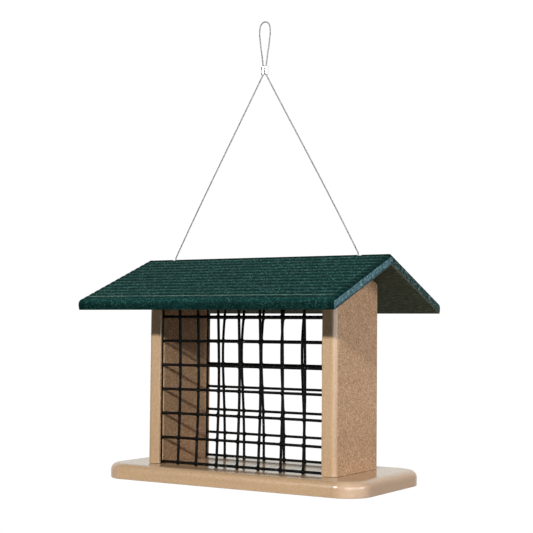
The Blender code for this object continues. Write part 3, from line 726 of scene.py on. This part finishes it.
def piece(name, mesh, body, node, look=None):
    """Show a mesh in place of a CAD node, riding on its body."""
    obj = shown(name, mesh)
    if look:
        mesh.materials.clear()
        mesh.materials.append(LOOKS[look])
    mesh.shade_smooth()
    mesh.set_sharp_from_angle(angle=SHARP_ANGLE)
    even = obj.modifiers.new("even shading", "WEIGHTED_NORMAL")
    even.keep_sharp = True
    if body:
        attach(obj, body)
    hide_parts(node)
    return obj


def carried(obj, look):
    """Give a solid that is shown as the CAD made it its look."""
    obj.data.materials.clear()
    obj.data.materials.append(LOOKS[look])


# Base board


def base_ring(inset, height):
    """The base board's rounded outline, drawn in by an inset."""
    radius = BASE_CORNER_RADIUS - inset
    x = BASE_HALF_LENGTH - BASE_CORNER_RADIUS
    y = BASE_HALF_WIDTH - BASE_CORNER_RADIUS
    ring = []
    for corner_x, corner_y, turn in ((x, y, 0), (-x, y, 90), (-x, -y, 180), (x, -y, 270)):
        ring += arc((corner_x, corner_y), radius, turn, turn + 90, steps=24)
    return lifted([(px, py, height) for px, py in ring])


def base_screw_places():
    """Each base screw's node and its place, under the middle of a panel's thickness."""
    x = (PANEL_INNER_X + PANEL_OUTER_X) / 2
    return {
        f"base_screw_{side}_{face}": (sign * x, turn * BASE_SCREW_Y)
        for side, sign in SIDES.items()
        for face, turn in FACES.items()
    }


def base_board():
    """A board with round corners: a full round above, a small one below, and screw seats."""
    bottom = arc((0.0, BASE_BOTTOM_ROUND), BASE_BOTTOM_ROUND, -90, 0, steps=8)
    top = arc((0.0, BASE_THICKNESS - BASE_TOP_ROUND), BASE_TOP_ROUND, 0, 90, steps=16)
    rings = [base_ring(BASE_BOTTOM_ROUND + FLAT_MARGIN, 0.0)]
    rings += [base_ring(BASE_BOTTOM_ROUND - reach, height) for reach, height in bottom]
    rings += [base_ring(BASE_TOP_ROUND - reach, height) for reach, height in top]
    rings.append(base_ring(BASE_TOP_ROUND + FLAT_MARGIN, BASE_THICKNESS))
    shell = Shell()
    shell.rings(rings, look=1, cap_look=0)
    seats = [screw_seat(BASE_SCREW, x, y) for x, y in base_screw_places().values()]
    return carved(shell.mesh("board", ("base skin", "base edge")), seats)


def screw_seat(size, x, y):
    """A countersink up through the base's underside, a little wider than the screw's head."""
    wide = size["head"] + SEAT_GAP
    narrow = size["shank"] + SEAT_GAP
    profile = [
        (wide, -OVERRUN),
        (wide, SEAT_GAP),
        (narrow, SEAT_GAP + size["head_height"]),
        (narrow, SEAT_GAP + 2 * size["head_height"]),
    ]
    return turned("seat", profile, Matrix.Translation((x, y, FOOT)))


# Gable panels


def panel_outline():
    """The right gable panel from above, with a kerf for the edge of each mesh sheet."""
    inner = PANEL_INNER_X + PANEL_INNER_ROUND
    outer = PANEL_OUTER_X - PANEL_OUTER_ROUND
    inner_y = PANEL_EDGE_Y - PANEL_INNER_ROUND
    outer_y = PANEL_EDGE_Y - PANEL_OUTER_ROUND
    points = arc((inner, -inner_y), PANEL_INNER_ROUND, 180, 270, steps=6)
    points += arc((outer, -outer_y), PANEL_OUTER_ROUND, 270, 360, steps=14)
    points += arc((outer, outer_y), PANEL_OUTER_ROUND, 0, 90, steps=14)
    points += arc((inner, inner_y), PANEL_INNER_ROUND, 90, 180, steps=6)
    for face in (1, -1):
        far = face * MESH_Y + KERF_WIDTH / 2
        near = face * MESH_Y - KERF_WIDTH / 2
        bottom = PANEL_INNER_X + KERF_DEPTH
        points += [(PANEL_INNER_X, far), (bottom, far), (bottom, near), (PANEL_INNER_X, near)]
    return points


def gable_panel(side):
    """A panel whose top follows the roof's two slopes."""
    outline = [(side * x, y) for x, y in panel_outline()]
    heights = (PANEL_FOOT, PANEL_PEAK + OVERRUN)
    made = bmesh.new()
    made.from_mesh(skinned("panel", [lifted([(x, y, z) for x, y in outline]) for z in heights]))
    for face in (1, -1):
        bmesh.ops.bisect_plane(
            made,
            geom=[*made.verts, *made.edges, *made.faces],
            plane_co=(0.0, 0.0, PANEL_PEAK + FOOT),
            plane_no=(0.0, face * math.sin(ROOF_SLOPE), math.cos(ROOF_SLOPE)),
            clear_outer=True,
        )
        bmesh.ops.holes_fill(made, edges=[edge for edge in made.edges if edge.is_boundary])
    bmesh.ops.recalc_face_normals(made, faces=made.faces)
    flat_side = 0.98
    for facet in made.faces:
        facet.material_index = 1 if abs(facet.normal.x) > flat_side else 0
    mesh = Shell().mesh("panel", ("panel edge", "panel face"))
    made.to_mesh(mesh)
    made.free()
    return mesh


# Welded mesh


def bowed(point, face, foot, top):
    """A point of a flat sheet, moved in where the sheet bellies into the bay between its kerfs."""
    name = FACE_NAMES[face]
    across = min(1.0, abs(point[0]) / PANEL_INNER_X)
    up = min(1.0, max(0.0, (point[2] - foot) / (top - foot)))
    swell = max(0.0, math.sin(math.pi * up ** BOW_LEANS[name])) ** BOW_EASING
    inward = MESH_BOWS[name] * (1 - across**BOW_FLATNESS) * swell
    return (point[0], point[1] - face * inward, point[2])


def wire(shell, points):
    """A coated wire with rounded tips."""
    points = np.array([tuple(point) for point in points])
    tip = arc((0.0, 0.0), COAT_RADIUS, 90, 10, steps=4)
    along = (points[1] - points[0]) / np.linalg.norm(points[1] - points[0])
    start = [points[0] + along * (COAT_RADIUS - reach) for reach, _ in reversed(tip)]
    along = (points[-1] - points[-2]) / np.linalg.norm(points[-1] - points[-2])
    finish = [points[-1] - along * (COAT_RADIUS - reach) for reach, _ in tip]
    radii = [size for _, size in reversed(tip)]
    inner = points[1:-1]
    route = np.array([*start, *inner, *finish])
    sizes = np.array([*radii, *[COAT_RADIUS] * len(inner), *reversed(radii)])
    tube(shell, route, sizes, COAT_SIDES)


def weld(shell, x, upright_y, level_y, z):
    """The coating's fillet round a crossing: a blend of two round wires, seen from its middle."""
    radius = COAT_RADIUS * WELD_WIRE_SHARE
    middle = np.array((x, (upright_y + level_y) / 2, z))
    sides = 28
    turns = 2 * math.pi * np.arange(sides) / sides
    rings = []
    for tilt in np.radians(np.linspace(-WELD_TILT, WELD_TILT, 11)):
        across = np.cos(tilt) * np.cos(turns)
        aim = np.stack([across, np.full(sides, np.sin(tilt)), np.cos(tilt) * np.sin(turns)], axis=1)
        reach = np.full(sides, WELD_REACH)
        for step in np.linspace(WELD_REACH, COAT_RADIUS * WELD_START_SHARE, 60):
            at = middle + aim * step
            upright = np.hypot(at[:, 0] - x, at[:, 1] - upright_y) - radius
            level = np.hypot(at[:, 1] - level_y, at[:, 2] - z) - radius
            reach = np.where(blended(upright, level, WELD_FILLET) > 0, step, reach)
        rings.append(middle + aim * reach[:, None])
    shell.rings(rings)


def mesh_sheet(face):
    """A sheet of upright wires welded inside level ones."""
    foot = BASE_THICKNESS + SEAT_GAP
    rows = [BASE_THICKNESS + MESH_FIRST_ROW + MESH_PITCH * number for number in range(MESH_ROWS)]
    top = rows[-1] + MESH_TOP_STUB
    columns = [MESH_EDGE_X - MESH_PITCH * number for number in range(MESH_COLUMNS - 2)]
    columns.append(columns[-1] - MESH_NARROW_PITCH)
    columns.append(columns[-1] - MESH_NARROW_PITCH)
    for cell in WIDE_CELLS[FACE_NAMES[face]]:
        columns = [x + MESH_WIDENING * (number <= cell) for number, x in enumerate(columns)]
    columns = [-face * x for x in columns]
    ends = (min(columns) - MESH_SIDE_STUB, max(columns) + MESH_SIDE_STUB)
    level_y = face * (MESH_Y + WELD_OFFSET / 2)
    upright_y = face * (MESH_Y - WELD_OFFSET / 2)
    shell = Shell()

    def placed(point):
        return lifted([bowed(point, face, foot, top)])[0]

    for x in columns:
        wire(shell, [placed((x, upright_y, z)) for z in np.linspace(foot, top, UPRIGHT_STATIONS)])
    for z in rows:
        wire(shell, [placed((x, level_y, z)) for x in np.linspace(*ends, LEVEL_STATIONS)])
    for x in columns:
        for z in rows:
            up = placed((x, upright_y, z))
            level = placed((x, level_y, z))
            weld(shell, up.x, up.y, level.y, up.z)
    return shell.mesh("sheet")


# Roof


def board_section():
    """The rear board's section as (distance down the slope, height off the underside)."""
    cos, sin = math.cos(ROOF_SLOPE), math.sin(ROOF_SLOPE)
    top = BOARD_THICKNESS
    rib_steps = 12
    mitre_foot = SEAT_GAP / 2 / cos
    mitre_top = (SEAT_GAP / 2 - top * sin) / cos
    low_round = (BOARD_REACH - EAVE_BOTTOM_ROUND, EAVE_BOTTOM_ROUND)
    nose = arc((0.0, top - EAVE_NOSE_DEPTH), EAVE_NOSE_DEPTH, 0, 90, steps=14)
    slimming = EAVE_NOSE_REACH / EAVE_NOSE_DEPTH
    first_valley = mitre_top + RIDGE_LAND
    last_valley = first_valley + RIB_COUNT * RIB_PITCH
    points = [(mitre_foot, 0.0)]
    points += arc(low_round, EAVE_BOTTOM_ROUND, -90, 0, steps=5)
    points += [(BOARD_REACH - EAVE_NOSE_REACH + x * slimming, y) for x, y in nose]
    for step in range(rib_steps):
        along = step / rib_steps
        points.append((last_valley + EAVE_SHOULDER * (1 - along), top - RIB_DEPTH * along**2))
    for step in range(RIB_COUNT * rib_steps + 1):
        across = step % rib_steps / rib_steps * 2 - 1
        points.append((last_valley - RIB_PITCH * step / rib_steps, top - RIB_DEPTH * across**2))
    points.append((first_valley - RIDGE_LAND / 2, top - RIB_DEPTH / 4))
    points.append((mitre_top, top))
    return points


def board_stations():
    """(x, how far the top is eased down) at each section along a board."""
    steps = 7
    easing = []
    for step in range(steps + 1):
        angle = math.radians(90 * (1 - step / steps))
        x = GABLE_EASING * (1 - math.sin(angle)) - ROOF_HALF_LENGTH
        easing.append((x, GABLE_EASING * (1 - math.cos(angle))))
    return easing + [(-x, drop) for x, drop in reversed(easing)]


def cable_slot(x):
    """The slot for a strand, long along the ridge so that the strand can change its angle."""
    radius = CABLE_SLOT_WIDTH / 2
    end = CABLE_SLOT_LENGTH / 2 - radius
    outline = arc((x + end, 0.0), radius, -90, 90, steps=16)
    outline += arc((x - end, 0.0), radius, 90, 270, steps=16)
    heights = (ROOF_UNDERSIDE - BOARD_THICKNESS, RIDGE_TOP + OVERRUN)
    return skinned("slot", [lifted([(px, py, z) for px, py in outline]) for z in heights])


def roof_board(face):
    """A ribbed board, mitred at the ridge and eased along its two gable ends."""
    cos, sin = math.cos(ROOF_SLOPE), math.sin(ROOF_SLOPE)
    section = board_section()
    rings = []
    for x, drop in board_stations():
        ring = []
        for along, off in section:
            off = min(off, BOARD_THICKNESS - drop)
            along = max(along, (SEAT_GAP / 2 - off * sin) / cos)
            y = face * (along * cos + off * sin)
            ring.append((x, y, ROOF_UNDERSIDE - along * sin + off * cos))
        rings.append(lifted(ring))
    shell = Shell()
    shell.rings(rings, look=0, cap_look=1)
    slots = [cable_slot(side * HOLE_X) for side in SIDES.values()]
    looks = ("roof top", f"{FACE_NAMES[face]} end", "roof under")
    mesh = carved(shell.mesh("roof", looks), slots)
    underneath = -0.8
    for facet in mesh.polygons:
        if facet.normal.z < underneath:
            facet.material_index = 2
    return mesh


# Hanger


def drawn_in(along, length):
    """How far a sleeve's skin is drawn in at a share of its length, by the rounds at its ends."""
    from_end = min(along, 1 - along) * length
    lip = BARREL_EASING - min(from_end, BARREL_EASING)
    return BARREL_EASING - math.sqrt(BARREL_EASING**2 - lip**2)


def ferrule():
    """A double-barrelled sleeve, drawn in a little at its two ends."""
    sides = 96
    turns = np.linspace(0, 2 * math.pi, sides, endpoint=False)
    aim = np.stack([np.cos(turns), np.sin(turns)], axis=1)
    reach = np.zeros(sides)
    for step in np.linspace(0, STRAND_X + BARREL_RADIUS + BARREL_FILLET, 900):
        at = aim * step
        left = np.hypot(at[:, 0] + STRAND_X, at[:, 1]) - BARREL_RADIUS
        right = np.hypot(at[:, 0] - STRAND_X, at[:, 1]) - BARREL_RADIUS
        reach = np.where(blended(left, right, BARREL_FILLET) < 0, step, reach)
    outline = aim * reach[:, None]
    length = FERRULE_TOP - FERRULE_FOOT
    rings = []
    for along in np.linspace(0, 1, 41):
        shrink = drawn_in(along, length) / BARREL_RADIUS
        height = FERRULE_FOOT + along * length
        rings.append(lifted([(x * (1 - shrink / 2), y * (1 - shrink), height) for x, y in outline]))
    return skinned("ferrule", rings)


def loop_route():
    """The loop's centre line, up one side from the ferrule, over the top and down again."""
    rise = [(STRAND_X, FERRULE_TOP - SOCKET_DEPTH), (STRAND_X, FERRULE_TOP)]
    for wide, high in LOOP_SIDE_SHARES:
        rise.append((LOOP_HALF_WIDTH * wide, FERRULE_TOP + LOOP_HEIGHT * high))
    points = [*rise, (0.0, FERRULE_TOP + LOOP_HEIGHT), *((-x, z) for x, z in reversed(rise))]
    return smooth_route([Vector((x, 0.0, z)) for x, z in points], steps=240)


def leg_route(side):
    """A leg from its socket in the ferrule to the ridge, a little bowed near the roof."""
    mouth = Vector((side * STRAND_X, 0.0, FERRULE_FOOT))
    foot = Vector((side * LEG_FOOT_X, 0.0, HINGE_HEIGHT))
    chord = foot - mouth
    outward = Vector((-side * chord.z, 0.0, abs(chord.x))).normalized()
    route = [mouth + Vector((0.0, 0.0, SOCKET_DEPTH))]
    for t in np.linspace(0, 1, 81):
        # The curve t * t * (1 - t) is 4 / 27 at its highest, two thirds of the way down.
        bulge = LEG_BOW * t**2 * (1 - t) * 27 / 4
        route.append(mouth + chord * t + outward * bulge)
    return route


def tail_route(side):
    """A cable's end from the ridge down through its hole to the sleeve on the panel."""
    points = [
        (LEG_FOOT_X, HINGE_HEIGHT),
        ((LEG_FOOT_X + HOLE_X) / 2, (RIDGE_TOP + ROOF_UNDERSIDE) / 2),
        (HOLE_X, ROOF_UNDERSIDE),
        (SLEEVE_X, SLEEVE_TOP - SEAT_GAP),
    ]
    return smooth_route([Vector((side * x, 0.0, z)) for x, z in points], steps=60)


def eye_route(side):
    """The eye round the anchor screw, closed at its top inside the sleeve."""
    ring = arc((0.0, ANCHOR_HEIGHT), EYE_RADIUS, 90, 450, steps=72)
    return [Vector((side * SLEEVE_X, y, z)) for y, z in ring]


def pressed_sleeve(side):
    """The oval sleeve that closes an eye, with eased ends and a waist from its press."""
    rings = []
    for along in np.linspace(0, 1, 25):
        drawn = drawn_in(along, SLEEVE_LENGTH)
        press = SLEEVE_PRESS * max(0.0, math.cos(4 * math.pi * (along - 0.5))) ** 2
        ring = []
        for point in circle(1.0, TURNED_SIDES):
            x = point.x * (SLEEVE_HALF_THICKNESS - drawn - press)
            y = point.y * (SLEEVE_HALF_WIDTH - drawn)
            ring.append((side * SLEEVE_X + x, y, SLEEVE_FOOT + along * SLEEVE_LENGTH))
        rings.append(lifted(ring))
    return skinned("sleeve", rings)


def washer(side):
    """A flat washer with eased rims, round the anchor screw."""
    bore = ANCHOR_SCREW["shank"] + SEAT_GAP
    section = [
        (bore, 0.0),
        (WASHER_RADIUS - WASHER_EASING, 0.0),
        (WASHER_RADIUS, WASHER_EASING),
        (WASHER_RADIUS, WASHER_THICKNESS - WASHER_EASING),
        (WASHER_RADIUS - WASHER_EASING, WASHER_THICKNESS),
        (bore + WASHER_EASING, WASHER_THICKNESS),
        (bore, WASHER_THICKNESS - WASHER_EASING),
    ]
    rings = []
    for turn in np.linspace(0, 2 * math.pi, 64, endpoint=False):
        ring = [
            (side * (WASHER_X + h), r * math.cos(turn), ANCHOR_HEIGHT + r * math.sin(turn))
            for r, h in section
        ]
        rings.append(lifted(ring))
    return skinned("washer", rings, loop=True)


# Screws


def recess(reach, face):
    """The crossed slots of a drive recess, cut in from a head's face."""
    half = RECESS_WIDTH / 2
    arm = [(reach, -half), (reach, half), (half, half)]
    outline = [
        (x * cos - y * sin, x * sin + y * cos)
        for cos, sin in ((1, 0), (0, 1), (-1, 0), (0, -1))
        for x, y in arm
    ]
    levels = ((1, face - OVERRUN), (1, face), (RECESS_TAPER_SHARE, face + RECESS_DEPTH))
    return skinned("recess", [[(x * wide, y * wide, z) for x, y in outline] for wide, z in levels])


def screw(size, domed):
    """A screw with its head's face down and its point up, domed or countersunk."""
    rise = size["head_height"]
    if domed:
        crown = arc((0.0, 0.0), size["head"], -78, 0, steps=14)
        head = [(x, y * rise / size["head"]) for x, y in crown]
        face = head[0][1]
        head.append((size["shank"], 0.0))
    else:
        head = [(size["head"] - HEAD_RIM, 0.0), (size["head"], HEAD_RIM), (size["shank"], rise)]
        face = 0.0
    profile = [*head, (size["shank"], size["length"] - POINT_LENGTH), (SEAT_GAP, size["length"])]
    return carved(turned("screw", profile), [recess(size["shank"], face)])


# The feeder


def dress_housing():
    """The base board, the gable panels, the mesh sheets and the screws under the base."""
    piece("routed_base", base_board(), "housing", "base_board")
    for side, sign in SIDES.items():
        piece(f"gable_{side}", gable_panel(sign), "housing", f"side_panel_{side}")
    for face, sign in FACES.items():
        node = f"wire_mesh_{face}"
        piece(f"dipped_mesh_{face}", mesh_sheet(sign), "housing", node, "vinyl")
    shape = screw(BASE_SCREW, domed=False)
    for node, (x, y) in base_screw_places().items():
        mesh = shape.copy()
        mesh.transform(Matrix.Translation((x, y, FOOT + SEAT_GAP)))
        name = node.replace("base_screw", "countersunk_screw")
        piece(name, mesh, "housing", node, "screw steel")


def dress_cable_ends():
    """The cable below the ridge, and what fastens it to each gable panel."""
    dome = screw(ANCHOR_SCREW, domed=True)
    for side, sign in SIDES.items():
        tail = rope("tail", tail_route(sign))
        obj = piece(f"rope_tail_{side}", tail, None, f"cable_tail_{side}", "rope")
        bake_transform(obj)
        eye = rope("eye", eye_route(sign))
        piece(f"rope_eye_{side}", eye, "housing", f"tail_eye_{side}", "rope")
        node = f"tail_sleeve_{side}"
        sleeve = pressed_sleeve(sign)
        piece(f"pressed_sleeve_{side}", sleeve, "housing", node, "aluminium")
        node = f"anchor_washer_{side}"
        piece(f"flat_washer_{side}", washer(sign), "housing", node, "screw steel")
        turn = Matrix.Rotation(-sign * math.pi / 2, 4, "Y")
        place = Matrix.Translation((sign * ANCHOR_HEAD_X, 0.0, ANCHOR_HEIGHT + FOOT)) @ turn
        mesh = dome.copy()
        mesh.transform(place)
        node = f"anchor_screw_{side}"
        piece(f"domed_screw_{side}", mesh, "housing", node, "screw steel")


def dress_roof():
    """The two ribbed boards, and the cleat and screws that are hidden under them."""
    for face, sign in FACES.items():
        node = f"roof_board_{face}"
        piece(f"ribbed_board_{face}", roof_board(sign), "roof", node)
    for name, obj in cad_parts.items():
        if name.startswith("cleat_screw"):
            carried(obj, "screw steel")
    carried(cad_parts["ridge_cleat"], "roof under")


def dress_hanger():
    """The loop, the ferrule, and the two legs."""
    loop = rope("loop", loop_route())
    piece("rope_loop", loop, "hanger_top", "hanging_loop", "rope")
    node = "crimp_ferrule"
    piece("pressed_ferrule", ferrule(), "hanger_top", node, "aluminium")
    for side, sign in SIDES.items():
        leg = rope("leg", leg_route(sign))
        node = f"cable_leg_{side}"
        obj = piece(f"rope_leg_{side}", leg, "cable_legs", node, "rope")
        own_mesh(obj)


# Studio


def build_camera():
    """The photograph's own view, from its place and direction."""
    forward = heading(VIEW_YAW + 180, VIEW_PITCH)
    right = heading(VIEW_YAW + 90, 0)
    up = right.cross(forward)
    roll = math.radians(VIEW_ROLL)
    rolled = right * math.cos(roll) + up * math.sin(roll)
    upright = up * math.cos(roll) - right * math.sin(roll)
    camera = shown("camera", bpy.data.cameras.new("camera"))
    axes = Matrix((rolled, upright, -forward)).transposed().to_4x4()
    camera.matrix_world = Matrix.Translation(VIEW_FROM + Vector((0.0, 0.0, FOOT))) @ axes
    camera.data.sensor_width = SENSOR_MM
    camera.data.lens = FOCAL_PIXELS * SENSOR_MM / FRAME_PIXELS
    camera.data.clip_start = NEAREST_SEEN
    bpy.context.scene.camera = camera


def heading(azimuth, elevation):
    """The direction towards an azimuth, turned from the front to the right, and an elevation."""
    a, e = math.radians(azimuth), math.radians(elevation)
    return Vector((math.sin(a) * math.cos(e), -math.cos(a) * math.cos(e), math.sin(e)))


def lamp(name, azimuth, elevation, distance, width, height, level, colour, missed_by):
    """A soft panel aimed at the feeder, which lights a facing white card to the given level."""
    data = bpy.data.lights.new(name, "AREA")
    data.shape = "ELLIPSE"
    data.size = width
    data.size_y = height
    data.energy = level * (math.pi * distance) ** 2
    data.color = paint(colour)[:3]
    obj = shown(name, data)
    aim = Vector((0.0, 0.0, FOOT + AIM_HEIGHT))
    towards = heading(azimuth, elevation)
    obj.location = aim + towards * distance
    obj.rotation_euler = towards.to_track_quat("Z", "Y").to_euler()
    obj.visible_camera = False
    obj.visible_glossy = missed_by != "glossy"
    obj.visible_diffuse = missed_by != "diffuse"


def build_world():
    """A dim room with a bright white sweep behind the feeder, and white where the lens looks."""
    world = bpy.data.worlds.new("studio")
    bpy.context.scene.world = world
    world.use_nodes = True
    tree = world.node_tree
    tree.nodes.clear()
    way = add(tree, "TexCoord").outputs["Generated"]
    behind = heading(VIEW_YAW + 180, SWEEP_TILT)
    facing = add(tree, "VectorMath", {0: way, 1: behind}, operation="DOT_PRODUCT")
    edge = {
        "Value": facing.outputs["Value"],
        "From Min": math.cos(math.radians(SWEEP_EDGE)),
        "From Max": math.cos(math.radians(SWEEP_FULL)),
    }
    sweep = add(tree, "MapRange", edge, interpolation_type="SMOOTHSTEP").outputs["Result"]
    shade = dyed(tree, paint(ROOM), SWEEP, sweep)
    room = add(tree, "Background", {"Color": shade, "Strength": 1.0})
    white = add(tree, "Background", {"Color": paint("#ffffff"), "Strength": WHITE_LEVEL})
    seen = add(tree, "LightPath").outputs["Is Camera Ray"]
    either = {0: seen, 1: room.outputs["Background"], 2: white.outputs["Background"]}
    both = add(tree, "MixShader", either)
    add(tree, "OutputWorld", {"Surface": both.outputs["Shader"]})


def build_studio():
    """The camera, the room, the lamps, and a pale floor far below the feeder."""
    build_camera()
    build_world()
    for name, terms in LAMPS.items():
        lamp(name, *terms)
    ring = circle(FLOOR_RADIUS, sides=96, height=FOOT - FLOOR_DROP)
    mesh = bpy.data.meshes.new("floor")
    mesh.from_pydata([tuple(point) for point in ring], [], [tuple(range(len(ring)))])
    floor = shown("floor", mesh)
    pale = bpy.data.materials.new("pale floor")
    pale.use_nodes = True
    shader = pale.node_tree.nodes["Principled BSDF"]
    shader.inputs["Base Color"].default_value = paint(FLOOR_WHITE)
    shader.inputs["Roughness"].default_value = FLOOR_GLOSS
    mesh.materials.append(pale)
    bpy.context.scene.view_settings.view_transform = "Standard"


build_studio()
dress_housing()
dress_cable_ends()
dress_roof()
dress_hanger()
